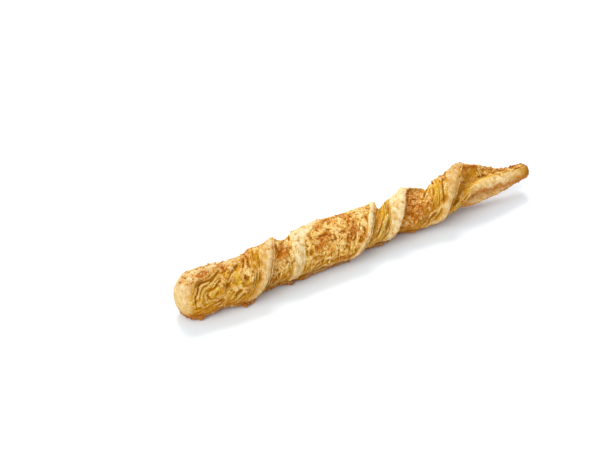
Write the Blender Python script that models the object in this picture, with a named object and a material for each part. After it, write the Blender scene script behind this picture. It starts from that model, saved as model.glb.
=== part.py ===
"""A cheese straw: one strip of puff pastry twisted into a stick, with grated cheese baked onto it.

The stick lies along X, its blunt head at -X and its thin tail at +X, and rests on Z = 0.
The strip has two long edges, A and B, that wind round the stick as left-handed helices. Between
them lie the cheese face, from B to A, and the plain face, from A to B. Each edge ends in a rounded
lip that leans over the hollow beside it.
"""

import math
import random

import bmesh
import bpy
import numpy as np
from mathutils import Vector, noise

MM = 0.001  # the sizes below are written in millimetres

# The whole stick
LENGTH = 300 * MM
AXIS_HEIGHT = 14 * MM
HEAD_ROUNDING = 15 * MM
HEAD_SQUARENESS = 2.8  # 2 would round the end off as half an ellipse
TAIL_ROUNDING = 7 * MM
TAIL_SQUARENESS = 2.3

# The twist: half turns of edge B past VIEWED_SIDE, the side that faces up and forwards, measured
# from +Y towards +Z. Tables give (station from the head, value), in millimetres unless they say so.
VIEWED_SIDE = math.radians(139.6)
HALF_TURNS = ((0, 0.25), (14, 0.4), (50, 0.5), (64, 1), (82, 1.5), (87.5, 2), (97, 2.45), (130, 2.55),
              (148, 3), (166, 3.5), (177, 4), (192, 4.45), (208, 4.55), (220, 5), (240, 5.42),
              (270, 5.52), (300, 5.55))
STATION_ROUNDING = 4 * MM

# Distances of the two edges and of the middles of the two faces from the axis
EDGE_A_RADIUS = ((0, 15.6), (12, 15.6), (30, 13.6), (44, 15.8), (55, 15), (65, 16.5), (75, 17.4), (86, 18.2),
                 (97, 15.4), (116, 15.7), (150, 15.6), (162, 14.6), (190, 15.3), (205, 13.8), (222, 16),
                 (241, 19.5), (255, 15.4), (264, 11.4), (273, 8), (283, 6.4), (300, 6))
EDGE_B_RADIUS = ((0, 17.5), (23, 17.4), (38, 16), (51, 15.2), (80, 14.8), (87, 16), (97, 17.4), (118, 18.4),
                 (133, 17), (168, 14.2), (180, 16), (191, 17.2), (197, 15.6), (207, 13), (225, 13),
                 (243, 12), (265, 10), (290, 5.8), (300, 5.5))
CHEESE_FACE_RADIUS = ((0, 13.5), (30, 14.5), (50, 15), (65, 17.6), (86, 15.4), (115, 15.4), (149, 16.8),
                      (165, 15), (180, 13), (200, 13.4), (218, 15.7), (228, 17), (240, 12.4), (260, 8.5),
                      (285, 6.2), (300, 6))
PLAIN_FACE_RADIUS = ((0, 13), (50, 14), (65, 14.4), (78, 13.6), (88, 13.2), (100, 13), (149, 13.6),
                     (167, 13.2), (181, 13.6), (200, 13), (222, 13.6), (240, 10), (260, 9), (285, 6.4),
                     (300, 6))
CHEESE_FACE_ROUNDNESS = 2
PLAIN_FACE_ROUNDNESS = 4  # the plain face stays level further out before it rises to its edges

# Depths of the hollows beside the lips. They fade away where the strip faces down: these two are
# sines of the angle above level.
HOLLOW_BY_A = ((0, 0.5), (45, 3), (62, 5.6), (70, 4.6), (76, 2.4), (83, 1), (90, 0.6), (125, 2), (148, 5.6),
               (166, 4.6), (185, 3), (205, 3), (222, 6), (243, 9.5), (256, 7), (266, 3.5), (275, 1), (300, 0))
HOLLOW_BY_B = ((0, 0), (130, 0), (165, 2), (180, 3.6), (200, 3.2), (225, 1), (245, 0), (300, 0))
NO_HOLLOW_BELOW = -0.85
FULL_HOLLOW_ABOVE = -0.5

# Bends of the axis
SIDEWAYS_BEND = ((0, 0), (45, -2.5), (75, 0.5), (118, 1.5), (149, 1.5), (180, 4), (212, 2), (235, 4),
                 (255, 3), (275, 1), (300, 1))
LIFT = ((0, 0), (165, 0), (180, 1), (212, 1), (235, 2.5), (260, 1.5), (300, 1))

# The lips: shares of a face's width, and how far a lip leans, as an angle round the stick. A strap is
# a stretch before an edge that puffed up as high as the edge itself.
LIP_START = 0.7
STRAP_BEFORE_A = ((0, 0), (205, 0), (218, 0.8), (236, 0.8), (246, 0), (300, 0))
STRAP_BEFORE_B = ((0, 0), (165, 0), (175, 1), (195, 1), (205, 0), (300, 0))
STRAP_START = ((0, 0.6), (168, 0.6), (182, 0.8), (190, 0.8), (200, 0.6), (300, 0.6))
STRAP_RISE = 0.1
HOLLOW_START = 0.08
HOLLOW_FLOOR = 0.14
HOLLOW_RISE = 0.25
HOLLOW_END_BY_A = ((0, 0.5), (145, 0.5), (160, 0.4), (170, 0.4), (180, 0.6), (188, 0.75), (200, 0.7),
                   (215, 0.5), (236, 0.5), (248, 0.38), (300, 0.4))
HOLLOW_END_BY_B = 0.5
LIP_LEAN = math.radians(18)
LIP_SWELL = 0.8 * MM
LIP_FULL_DEPTH = 4 * MM  # beside a hollow this deep the lip leans over fully

# The thin end is rolled up along edge B, and a flap stands off below the roll
ROLL_SWELL = ((0, 0), (222, 0), (238, 2.6), (255, 2.8), (275, 1.8), (292, 0.6), (300, 0))
ROLL_PLACE = ((0, 0.5), (245, 0.5), (258, 0.56), (275, 0.64), (300, 0.68))
ROLL_WIDTH = 0.13
ROLL_GROOVE = ((0, 0), (226, 0), (237, 4), (256, 3.4), (276, 0), (300, 0))  # between the roll and its flap
GROOVE_BESIDE = 0.2
GROOVE_WIDTH = 0.08
FLAP_SWELL = ((0, 0), (232, 0), (242, 2), (266, 1.8), (282, 0), (300, 0))
FLAP_PLACE = 0.88
FLAP_WIDTH = 0.05

# Relief of the baked surface
FACE_WIDTH = 44 * MM
SKIN_WIDTH = 6 * MM
SKIN_FADE = 0.3
SKIN_STEP = 0.7 * MM
LAYER_RELIEF = 1.2 * MM
LAYER_BREAKS = 9 * MM
BREAK_SHARPNESS = 0.35
SWELL_SIZE = 14 * MM
SWELL = 0.7 * MM
CRUST_SIZE = 4.5 * MM
CRUST = 0.9 * MM

# The rim round the underside, which baked flat on a tray
RIM_SPREAD = ((0, 1.5), (50, 1.5), (62, 2.8), (165, 2.8), (178, 1.6), (225, 1.4), (300, 1))
RIM_HEIGHT = 2.4 * MM
RIM_HALF_WIDTH = 10 * MM

# The mesh of the strip
ROUND_COUNT = 40
COLUMN_CROWDING = 0.18
ROW_SPACING = 5.5 * MM
ROW_TURN = 0.13  # half turns
END_ROWS = 5
FINE_STATIONS = 600

# Grated cheese
SHRED_COUNT = 72
SHRED_STATIONS = (6, 280)  # millimetres from the head
SHRED_SHARES = (0.2, 0.8)
PLAIN_FACE_EVERY = 5
SHRED_LENGTH = (5 * MM, 10 * MM)
SHRED_RADIUS = (0.8 * MM, 1.25 * MM)
SHRED_TAPER = 0.35
SHRED_SIDES = 4
SHRED_STEPS = 3
SHRED_SUNK = 0.45
SHRED_LOWEST = 7 * MM
CRUST_CURVE = 14 * MM  # a shred sags onto a crust of this radius
PROBE_STEP = 0.5 * MM
PROBE_TURN = 0.03
SEED = 3

PASTRY_COLOUR = (0.68, 0.4, 0.14, 1)


def smooth_step(low, high, x):
    t = np.clip((x - low) / (high - low), 0, 1)
    return t * t * (3 - 2 * t)


def bell(x, middle, width):
    """A soft hill of height 1."""
    return np.exp(-((x - middle) / width) ** 2)


def along(table, station, unit=MM):
    """The table's value at each station, with its corners rounded off."""
    stations, values = np.array(table, float).T
    offsets = np.linspace(-1, 1, 9)
    weights = 1.1 - np.abs(offsets)
    samples = [w * np.interp(station / MM + o * STATION_ROUNDING / MM, stations, values)
               for o, w in zip(offsets, weights)]
    return sum(samples) / weights.sum() * unit


def end_share(station):
    """How wide the stick is near its rounded ends, as a share of its full width."""
    head = np.clip(station / HEAD_ROUNDING, 0, 1)
    tail = np.clip((LENGTH - station) / TAIL_ROUNDING, 0, 1)
    return (1 - (1 - head) ** HEAD_SQUARENESS) ** 0.5 * (1 - (1 - tail) ** TAIL_SQUARENESS) ** 0.5


def bare_surface(station, turn):
    """Points of the strip before its relief. turn runs round the strip: 0 is edge B, pi is edge A."""
    near_b = np.cos(turn / 2) ** 2
    on_cheese_face = turn % (2 * math.pi) < math.pi
    share = (turn % math.pi) / math.pi  # 0 just past one edge, 1 at the next
    swept = along(HALF_TURNS, station, math.pi) - turn
    facing_up = np.sin(VIEWED_SIDE - swept)
    open_share = smooth_step(NO_HOLLOW_BELOW, FULL_HOLLOW_ABOVE, facing_up)

    edge = along(EDGE_B_RADIUS, station) * near_b + along(EDGE_A_RADIUS, station) * (1 - near_b)
    face = np.where(on_cheese_face, along(CHEESE_FACE_RADIUS, station), along(PLAIN_FACE_RADIUS, station))
    roundness = np.where(on_cheese_face, CHEESE_FACE_ROUNDNESS, PLAIN_FACE_ROUNDNESS)
    by_a = along(HOLLOW_BY_A, station) * open_share
    by_b = along(HOLLOW_BY_B, station) * open_share
    hollow = np.where(on_cheese_face, by_b, by_a)
    next_hollow = np.where(on_cheese_face, by_a, by_b)
    lip = np.minimum(next_hollow / LIP_FULL_DEPTH, 1) * smooth_step(LIP_START, 1, share)
    lip_before = np.minimum(hollow / LIP_FULL_DEPTH, 1) * (1 - smooth_step(0, HOLLOW_START, share))
    strap = np.where(on_cheese_face, along(STRAP_BEFORE_A, station, 1), along(STRAP_BEFORE_B, station, 1))
    strap_start = along(STRAP_START, station, 1)
    strap = strap * smooth_step(strap_start, strap_start + STRAP_RISE, share)
    radius = face + (edge - face) * np.maximum(np.abs(np.cos(turn)) ** roundness, strap)
    radius = radius + LIP_SWELL * (lip + lip_before)
    hollow_end = np.where(on_cheese_face, HOLLOW_END_BY_B, along(HOLLOW_END_BY_A, station, 1))
    radius = radius - hollow * smooth_step(0, HOLLOW_FLOOR, share) * (
        1 - smooth_step(hollow_end - HOLLOW_RISE, hollow_end, share))
    roll_place = along(ROLL_PLACE, station, 1)
    rolled = along(ROLL_SWELL, station) * bell(share, roll_place, ROLL_WIDTH)
    rolled = rolled - along(ROLL_GROOVE, station) * bell(share, roll_place + GROOVE_BESIDE, GROOVE_WIDTH)
    rolled = rolled + along(FLAP_SWELL, station) * bell(share, FLAP_PLACE, FLAP_WIDTH)
    radius = radius + np.where(on_cheese_face, 0, rolled)
    radius = radius * end_share(station)

    angle = VIEWED_SIDE - swept + LIP_LEAN * (lip + lip_before)
    x = station - LENGTH / 2
    y = along(SIDEWAYS_BEND, station) + radius * np.cos(angle)
    z = AXIS_HEIGHT + along(LIFT, station) + radius * np.sin(angle)
    return np.stack([x, y, z], -1)


def outward(points):
    """Unit normals of a grid of points whose rows run along the stick and whose columns go round it."""
    lengthwise = np.gradient(points, axis=0)
    crosswise = np.roll(points, -1, axis=1) - np.roll(points, 1, axis=1)
    normals = np.cross(crosswise, lengthwise)
    return normals / np.maximum(np.linalg.norm(normals, axis=2, keepdims=True), 1e-12)


def noise_at(positions, size):
    """Smooth noise between -1 and 1 with features of the given size."""
    flat = positions.reshape(-1, 3) / size
    return np.array([noise.noise(Vector(p)) for p in flat]).reshape(positions.shape[:-1])


def relief(station, turn, points):
    """How far the baked surface stands out from the bare strip. Each second row or column ends a layer."""
    rows, columns = np.indices(station.shape)
    share = (turn % math.pi) / math.pi
    across = np.minimum(share, 1 - share) * FACE_WIDTH
    from_skin = np.minimum(across, station) / SKIN_WIDTH
    flaky = smooth_step(1 - SKIN_FADE, 1 + SKIN_FADE, from_skin)
    layer = np.where(across < station, columns % 2, rows % 2) - 0.5
    swell = SWELL * noise_at(points, SWELL_SIZE)
    crust = CRUST * np.maximum(noise_at(points, CRUST_SIZE), 0)
    whole = smooth_step(-BREAK_SHARPNESS, BREAK_SHARPNESS, noise_at(points, LAYER_BREAKS))
    layer_relief = LAYER_RELIEF * whole
    return swell + flaky * (crust + layer_relief * layer - SKIN_STEP)


def stations():
    """Rows along the stick, closer together where the ends round off and where the twist is quick."""
    steps = np.arange(1, END_ROWS + 1) / END_ROWS
    head = HEAD_ROUNDING * (1 - np.cos(steps * math.pi / 2))
    tail = LENGTH - TAIL_ROUNDING * (1 - np.cos(steps * math.pi / 2))[::-1]
    fine = np.linspace(head[-1], tail[0], FINE_STATIONS)
    quickness = np.abs(np.gradient(along(HALF_TURNS, fine, 1), fine)) / ROW_TURN
    density = 1 / ROW_SPACING + quickness
    passed = np.concatenate([[0], np.cumsum((density[1:] + density[:-1]) / 2 * np.diff(fine))])
    count = round(passed[-1])
    middle = np.interp(np.arange(1, count) / count * passed[-1], passed, fine)
    return np.concatenate([head, middle, tail])


def turns():
    """Columns round the strip, closer together at the lips."""
    even = np.arange(ROUND_COUNT) / ROUND_COUNT * 2 * math.pi
    return even - COLUMN_CROWDING * np.sin(2 * even)


def settle(points, station):
    """Flattens the underside where it lay on the tray and spreads it a little into a rim."""
    settled = points.copy()
    low = np.exp(-(np.maximum(points[..., 2], 0) / RIM_HEIGHT) ** 2)
    outwards = np.clip(points[..., 1] / RIM_HALF_WIDTH, -1, 1)
    settled[..., 1] += along(RIM_SPREAD, station) * low * outwards
    settled[..., 2] = np.maximum(points[..., 2], 0)
    return settled


def strip_grid():
    station, turn = np.meshgrid(stations(), turns(), indexing="ij")
    points = bare_surface(station, turn)
    height = relief(station, turn, points) * end_share(station)
    return settle(points + outward(points) * height[..., None], station)


def grid_faces(rows, columns):
    """Quads of a closed tube of points, wound so that they face outwards."""
    return [(i * columns + j, i * columns + (j + 1) % columns,
             (i + 1) * columns + (j + 1) % columns, (i + 1) * columns + j)
            for i in range(rows - 1) for j in range(columns)]


def mesh_object(name, vertices, faces):
    mesh = bpy.data.meshes.new(name)
    mesh.from_pydata([tuple(v) for v in vertices], [], faces)
    mesh.validate()
    mesh.update()
    thing = bpy.data.objects.new(name, mesh)
    bpy.context.scene.collection.objects.link(thing)
    return thing


def make_strip(name):
    """The twisted strip, closed at each end by a fan round its tip."""
    grid = strip_grid()
    rows, columns = grid.shape[:2]
    head_tip = grid[0].mean(axis=0) * (0, 1, 1) + (-LENGTH / 2, 0, 0)
    tail_tip = grid[-1].mean(axis=0) * (0, 1, 1) + (LENGTH / 2, 0, 0)
    vertices = [*grid.reshape(-1, 3), head_tip, tail_tip]
    faces = grid_faces(rows, columns)
    last = (rows - 1) * columns
    for j in range(columns):
        after = (j + 1) % columns
        faces.append((rows * columns, after, j))
        faces.append((rows * columns + 1, last + j, last + after))
    return mesh_object(name, vertices, faces)


def surface_at(station, turn):
    """A point of the bare strip, its outward direction, and the direction along the stick."""
    rows = np.array([[station - PROBE_STEP] * 3, [station] * 3, [station + PROBE_STEP] * 3])
    columns = np.array([[turn - PROBE_TURN, turn, turn + PROBE_TURN]] * 3)
    points = bare_surface(rows, columns)
    lengthwise = Vector(points[2, 1] - points[0, 1]).normalized()
    crosswise = Vector(points[1, 2] - points[1, 0]).normalized()
    return Vector(points[1, 1]), crosswise.cross(lengthwise).normalized(), lengthwise


def make_shred(draw, station, turn):
    """One shred of cheese: a short bent bar that lies half sunk in the crust."""
    centre, out, forward = surface_at(station, turn)
    length = draw.uniform(*SHRED_LENGTH)
    radius = draw.uniform(*SHRED_RADIUS)
    heading = draw.uniform(0, 2 * math.pi)
    bend = draw.uniform(-0.5, 0.5) * length
    ahead = forward * math.cos(heading) + out.cross(forward) * math.sin(heading)
    aside = out.cross(ahead)
    middle = centre + out * radius * (1 - 2 * SHRED_SUNK)
    vertices = []
    for i in range(SHRED_STEPS + 1):
        t = i / SHRED_STEPS * 2 - 1
        taper = 1 - SHRED_TAPER * t * t
        sag = 0.5 * (t * length / 2) ** 2 / CRUST_CURVE
        ring = middle + ahead * (t * length / 2) + aside * bend * (t * t - 0.4) * 0.5 - out * sag
        for k in range(SHRED_SIDES):
            around = 2 * math.pi * (k + 0.5) / SHRED_SIDES
            vertices.append(ring + (aside * math.cos(around) + out * math.sin(around)) * radius * taper)
    faces = grid_faces(SHRED_STEPS + 1, SHRED_SIDES)
    faces.append(tuple(range(SHRED_SIDES))[::-1])
    faces.append(tuple(range(SHRED_STEPS * SHRED_SIDES, (SHRED_STEPS + 1) * SHRED_SIDES)))
    return mesh_object("shred", vertices, faces)


def shred_places(draw):
    """Stations and turns for the shreds, spread evenly over the cheese face and thinly over the plain one."""
    first, last = SHRED_STATIONS
    places = []
    for i in range(SHRED_COUNT):
        station = (first + (last - first) * (i + draw.uniform(0.1, 0.9)) / SHRED_COUNT) * MM
        on_plain_face = i % PLAIN_FACE_EVERY == PLAIN_FACE_EVERY - 1
        share = draw.uniform(*SHRED_SHARES)
        place = (station, math.pi * (share + on_plain_face))
        if surface_at(*place)[0].z > SHRED_LOWEST:
            places.append(place)
    return places


def union_all(body, pieces):
    """Joins the pieces to the body as one solid and removes them."""
    group = bpy.data.collections.new("pieces")
    bpy.context.scene.collection.children.link(group)
    for piece in pieces:
        bpy.context.scene.collection.objects.unlink(piece)
        group.objects.link(piece)
    join = body.modifiers.new("join", "BOOLEAN")
    join.operation = "UNION"
    join.operand_type = "COLLECTION"
    join.collection = group
    join.solver = "EXACT"
    bpy.context.view_layer.objects.active = body
    bpy.ops.object.modifier_apply(modifier=join.name)
    for piece in pieces:
        bpy.data.objects.remove(piece)
    bpy.data.collections.remove(group)


def keep_main_shell(thing):
    """Drops loose scraps and fills sealed hollows: only the shell with the most faces stays."""
    solid = bmesh.new()
    solid.from_mesh(thing.data)
    solid.faces.ensure_lookup_table()
    unseen = set(solid.faces)
    shells = []
    while unseen:
        shell = {unseen.pop()}
        front = list(shell)
        while front:
            face = front.pop()
            beside = {other for edge in face.edges for other in edge.link_faces} & unseen
            unseen -= beside
            shell |= beside
            front.extend(beside)
        shells.append(shell)
    main_shell = max(shells, key=len)
    scraps = [face for face in solid.faces if face not in main_shell]
    bmesh.ops.delete(solid, geom=scraps, context="FACES")
    solid.to_mesh(thing.data)
    solid.free()


def centre_on_floor(thing):
    """Puts the middle of the thing's box over the origin, with its lowest point on Z = 0."""
    points = np.array([v.co for v in thing.data.vertices])
    low, high = points.min(axis=0), points.max(axis=0)
    shift = Vector((-(low[0] + high[0]) / 2, -(low[1] + high[1]) / 2, -low[2]))
    for vertex in thing.data.vertices:
        vertex.co += shift


def pastry_material():
    material = bpy.data.materials.new("baked_pastry")
    material.use_nodes = True
    shader = material.node_tree.nodes["Principled BSDF"]
    shader.inputs["Base Color"].default_value = PASTRY_COLOUR
    shader.inputs["Roughness"].default_value = 0.6
    shader.inputs["Metallic"].default_value = 0
    return material


def main():
    for thing in list(bpy.data.objects):
        bpy.data.objects.remove(thing)
    draw = random.Random(SEED)
    straw = make_strip("cheese_straw")
    union_all(straw, [make_shred(draw, *place) for place in shred_places(draw)])
    keep_main_shell(straw)
    centre_on_floor(straw)
    straw.data.materials.append(pastry_material())


main()
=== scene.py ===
# %% [markdown]
# # A twisted cheese straw
# This notebook dresses the packed model of a cheese straw: one strip of puff pastry that was twisted,
# strewn with grated cheese and baked on a tray. The frame is loaded first, because every piece is made
# in its coordinates: X runs from the blunt head to the thin tail, and the stick rests on Z = 0.

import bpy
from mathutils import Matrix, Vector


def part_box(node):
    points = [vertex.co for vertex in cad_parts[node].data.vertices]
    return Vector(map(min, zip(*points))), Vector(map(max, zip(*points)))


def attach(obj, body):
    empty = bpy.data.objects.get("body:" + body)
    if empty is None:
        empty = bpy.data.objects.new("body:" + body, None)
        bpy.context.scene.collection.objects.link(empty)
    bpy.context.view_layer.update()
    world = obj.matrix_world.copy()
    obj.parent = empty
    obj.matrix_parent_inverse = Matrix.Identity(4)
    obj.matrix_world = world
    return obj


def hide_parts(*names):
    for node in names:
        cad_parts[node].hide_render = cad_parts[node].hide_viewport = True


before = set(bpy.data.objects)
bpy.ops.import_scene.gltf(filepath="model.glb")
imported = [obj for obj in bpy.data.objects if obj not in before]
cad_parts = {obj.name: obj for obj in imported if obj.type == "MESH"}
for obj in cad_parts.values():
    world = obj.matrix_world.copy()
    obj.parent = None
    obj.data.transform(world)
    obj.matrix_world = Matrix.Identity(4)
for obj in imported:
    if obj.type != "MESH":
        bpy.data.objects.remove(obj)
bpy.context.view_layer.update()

# %% [markdown]
# The shapes are worked out with numpy, a whole grid of points at a time, and the uneven look of dough
# comes from Blender's own noise. Sizes are written in millimetres and turned into metres by MM.

# %% Tools and units
import math
import random

import bpy
import numpy as np
from mathutils import Matrix, Vector, noise

MM = 0.001
draw = random.Random(11)


def smooth_step(low, high, x):
    """0 below low, 1 above high and a soft ramp between."""
    t = np.clip((x - low) / (high - low), 0, 1)
    return t * t * (3 - 2 * t)


def bell(x, middle, width):
    """A soft hill of height 1."""
    return np.exp(-((x - middle) / width) ** 2)


# %% [markdown]
# ## The form of the twisted strip
# A twisted strip can be modelled by twisting a plank with a Simple Deform modifier, but then every part
# of it turns at the same rate. The real stick turns in jerks: it lies flat for a while, then folds over
# in a centimetre or two. So the strip is drawn as a tube of points instead. Each row is a station along
# the stick and each column follows the strip round, so edge A and edge B are always the same columns.
# The numbers below are the solid's own driving sizes, except that the rim spreads further at the head.

# %% Twist and widths of the strip
NODE = "cheese_straw"
low_corner, high_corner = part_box(NODE)
LENGTH = high_corner[0] - low_corner[0]
AXIS_HEIGHT = 14 * MM
HEAD_ROUNDING = 15 * MM
HEAD_SQUARENESS = 2.8  # 2 would round the end off as half an ellipse
TAIL_ROUNDING = 7 * MM
TAIL_SQUARENESS = 2.3
FACE_WIDTH = 44 * MM
MEAN_RADIUS = 14 * MM

# The twist: half turns of edge B past VIEWED_SIDE, the side that faces up and forwards, measured
# from +Y towards +Z. Tables give (station from the head, value), in millimetres unless they say so.
VIEWED_SIDE = math.radians(139.6)
HALF_TURNS = (
    (0, 0.25), (14, 0.4), (50, 0.5), (64, 1), (82, 1.5), (87.5, 2), (97, 2.45), (130, 2.55), (148, 3),
    (166, 3.5), (177, 4), (192, 4.45), (208, 4.55), (220, 5), (240, 5.42), (270, 5.52), (300, 5.55))
STATION_ROUNDING = 4 * MM

# Distances of the two edges and of the middles of the two faces from the axis
EDGE_A_RADIUS = (
    (12, 15.6), (30, 13.6), (44, 15.8), (55, 15), (65, 16.5), (75, 17.4), (86, 18.2), (97, 15.4),
    (116, 15.7), (150, 15.6), (162, 14.6), (190, 15.3), (205, 13.8), (222, 16), (241, 19.5), (255, 15.4),
    (264, 11.4), (273, 8), (283, 6.4), (300, 6))
EDGE_B_RADIUS = (
    (0, 17.5), (23, 17.4), (38, 16), (51, 15.2), (80, 14.8), (87, 16), (97, 17.4), (118, 18.4), (133, 17),
    (168, 14.2), (180, 16), (191, 17.2), (197, 15.6), (207, 13), (225, 13), (243, 12), (265, 10),
    (290, 5.8), (300, 5.5))
CHEESE_FACE_RADIUS = (
    (0, 13.5), (30, 14.5), (50, 15), (65, 17.6), (86, 15.4), (115, 15.4), (149, 16.8), (165, 15),
    (180, 13), (200, 13.4), (218, 15.7), (228, 17), (240, 12.4), (260, 8.5), (285, 6.2), (300, 6))
PLAIN_FACE_RADIUS = (
    (0, 13), (50, 14), (65, 14.4), (78, 13.6), (88, 13.2), (100, 13), (149, 13.6), (167, 13.2),
    (181, 13.6), (200, 13), (222, 13.6), (240, 10), (260, 9), (285, 6.4), (300, 6))
CHEESE_FACE_ROUNDNESS = 2
PLAIN_FACE_ROUNDNESS = 4  # the plain face stays level further out before it rises to its edges
print("length", round(LENGTH / MM, 1), "mm, turns", HALF_TURNS[-1][1] / 2)

# %% [markdown]
# Beside each edge the dough sank into a hollow, and at the thin end one edge rolled up beside a groove,
# with a flap under it. Hollows fade away where the strip faces down: the two limits are sines of the
# angle above level.

# %% Hollows, roll and bends
HOLLOW_BY_A = (
    (0, 0.5), (45, 3), (62, 5.6), (70, 4.6), (76, 2.4), (83, 1), (90, 0.6), (125, 2), (148, 5.6),
    (166, 4.6), (185, 3), (205, 3), (222, 6), (243, 9.5), (256, 7), (266, 3.5), (275, 1), (300, 0))
HOLLOW_BY_B = ((130, 0), (165, 2), (180, 3.6), (200, 3.2), (225, 1), (245, 0))
NO_HOLLOW_BELOW = -0.85
FULL_HOLLOW_ABOVE = -0.5
ROLL_SWELL = ((222, 0), (238, 2.6), (255, 2.8), (275, 1.8), (292, 0.6), (300, 0))
ROLL_PLACE = ((245, 0.5), (258, 0.56), (275, 0.64), (300, 0.68))
ROLL_WIDTH = 0.13
ROLL_GROOVE = ((226, 0), (237, 4), (256, 3.4), (276, 0))  # between the roll and its flap
GROOVE_BESIDE = 0.2
GROOVE_WIDTH = 0.08
FLAP_SWELL = ((232, 0), (242, 2), (266, 1.8), (282, 0))
FLAP_PLACE = 0.88
FLAP_WIDTH = 0.05

# Bends of the axis
SIDEWAYS_BEND = (
    (0, 0), (45, -2.5), (75, 0.5), (118, 1.5), (149, 1.5), (180, 4), (212, 2), (235, 4), (255, 3),
    (275, 1))
LIFT = ((165, 0), (180, 1), (212, 1), (235, 2.5), (260, 1.5), (300, 1))
print("deepest hollow", max(depth for _, depth in HOLLOW_BY_A), "mm")

# %% [markdown]
# The edges puffed up into lips that lean over the hollows. A lip is given as shares of a face's width and
# as the angle by which it leans round the stick. A strap is a stretch before an edge that puffed up as
# high as the edge itself. The rim is where the underside baked flat on a tray and spread.

# %% Lips and rim
LIP_START = 0.7
STRAP_BEFORE_A = ((205, 0), (218, 0.8), (236, 0.8), (246, 0))
STRAP_BEFORE_B = ((165, 0), (175, 1), (195, 1), (205, 0))
STRAP_START = ((168, 0.6), (182, 0.8), (190, 0.8), (200, 0.6))
STRAP_RISE = 0.1
HOLLOW_START = 0.08
HOLLOW_FLOOR = 0.14
HOLLOW_RISE = 0.25
HOLLOW_END_BY_A = (
    (145, 0.5), (160, 0.4), (170, 0.4), (180, 0.6), (188, 0.75), (200, 0.7), (215, 0.5), (236, 0.5),
    (248, 0.38), (300, 0.4))
HOLLOW_END_BY_B = 0.5
LIP_LEAN = math.radians(18)
LIP_SWELL = 0.8 * MM
LIP_FULL_DEPTH = 4 * MM  # beside a hollow this deep the lip leans over fully

RIM_SPREAD = ((10, 2.6), (17, 1), (36, 1), (43, 2.6), (165, 2.8), (178, 1.6), (225, 1.4), (300, 1))
RIM_RAGGEDNESS = 1.2
RIM_NOTCH = 7 * MM
RIM_HEIGHT = 2.4 * MM
RIM_HALF_WIDTH = 10 * MM
print("lips lean over by", round(math.degrees(LIP_LEAN)), "degrees")

# %% [markdown]
# A table gives a size at a few stations, and keeps its end values beyond them. Straight lines between
# the stations would leave corners on the stick, so each value is an average over a few millimetres. Many
# sizes differ between the face with the cheese and the plain one, so one helper reads each face's table.


# %% Sizes along the stick
def along(table, station, unit=MM):
    """The table's value at each station, with its corners rounded off."""
    stations, values = np.array(table, float).T
    offsets = np.linspace(-1, 1, 9)
    weights = 1.1 - np.abs(offsets)
    samples = [w * np.interp(station / MM + o * STATION_ROUNDING / MM, stations, values)
               for o, w in zip(offsets, weights)]
    return sum(samples) / weights.sum() * unit


def is_cheese_face(turn):
    """Whether each point lies on the face with the cheese. The other face is the plain one."""
    return turn % (2 * math.pi) < math.pi


def by_face(cheese_table, plain_table, station, turn, unit=MM):
    """A size that each of the two faces reads from its own table."""
    return np.where(is_cheese_face(turn), along(cheese_table, station, unit),
                    along(plain_table, station, unit))


def end_share(station):
    """How wide the stick is near its rounded ends, as a share of its full width."""
    head = np.clip(station / HEAD_ROUNDING, 0, 1)
    tail = np.clip((LENGTH - station) / TAIL_ROUNDING, 0, 1)
    return (1 - (1 - head) ** HEAD_SQUARENESS) ** 0.5 * (1 - (1 - tail) ** TAIL_SQUARENESS) ** 0.5


edge_a_at_80 = float(along(EDGE_A_RADIUS, np.array(80 * MM)) / MM)
print("at 80 mm from the head edge A stands", round(edge_a_at_80, 1), "mm off the axis")

# %% [markdown]
# The bare strip is a tube whose radius changes with the turn round it. Near an edge the radius rises to
# a lip, and just past it falls into a hollow. The lip's points are also turned towards the hollow, so it
# leans over as soft dough does. Under the stick the hollows fade, because there it was pressed flat.


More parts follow.
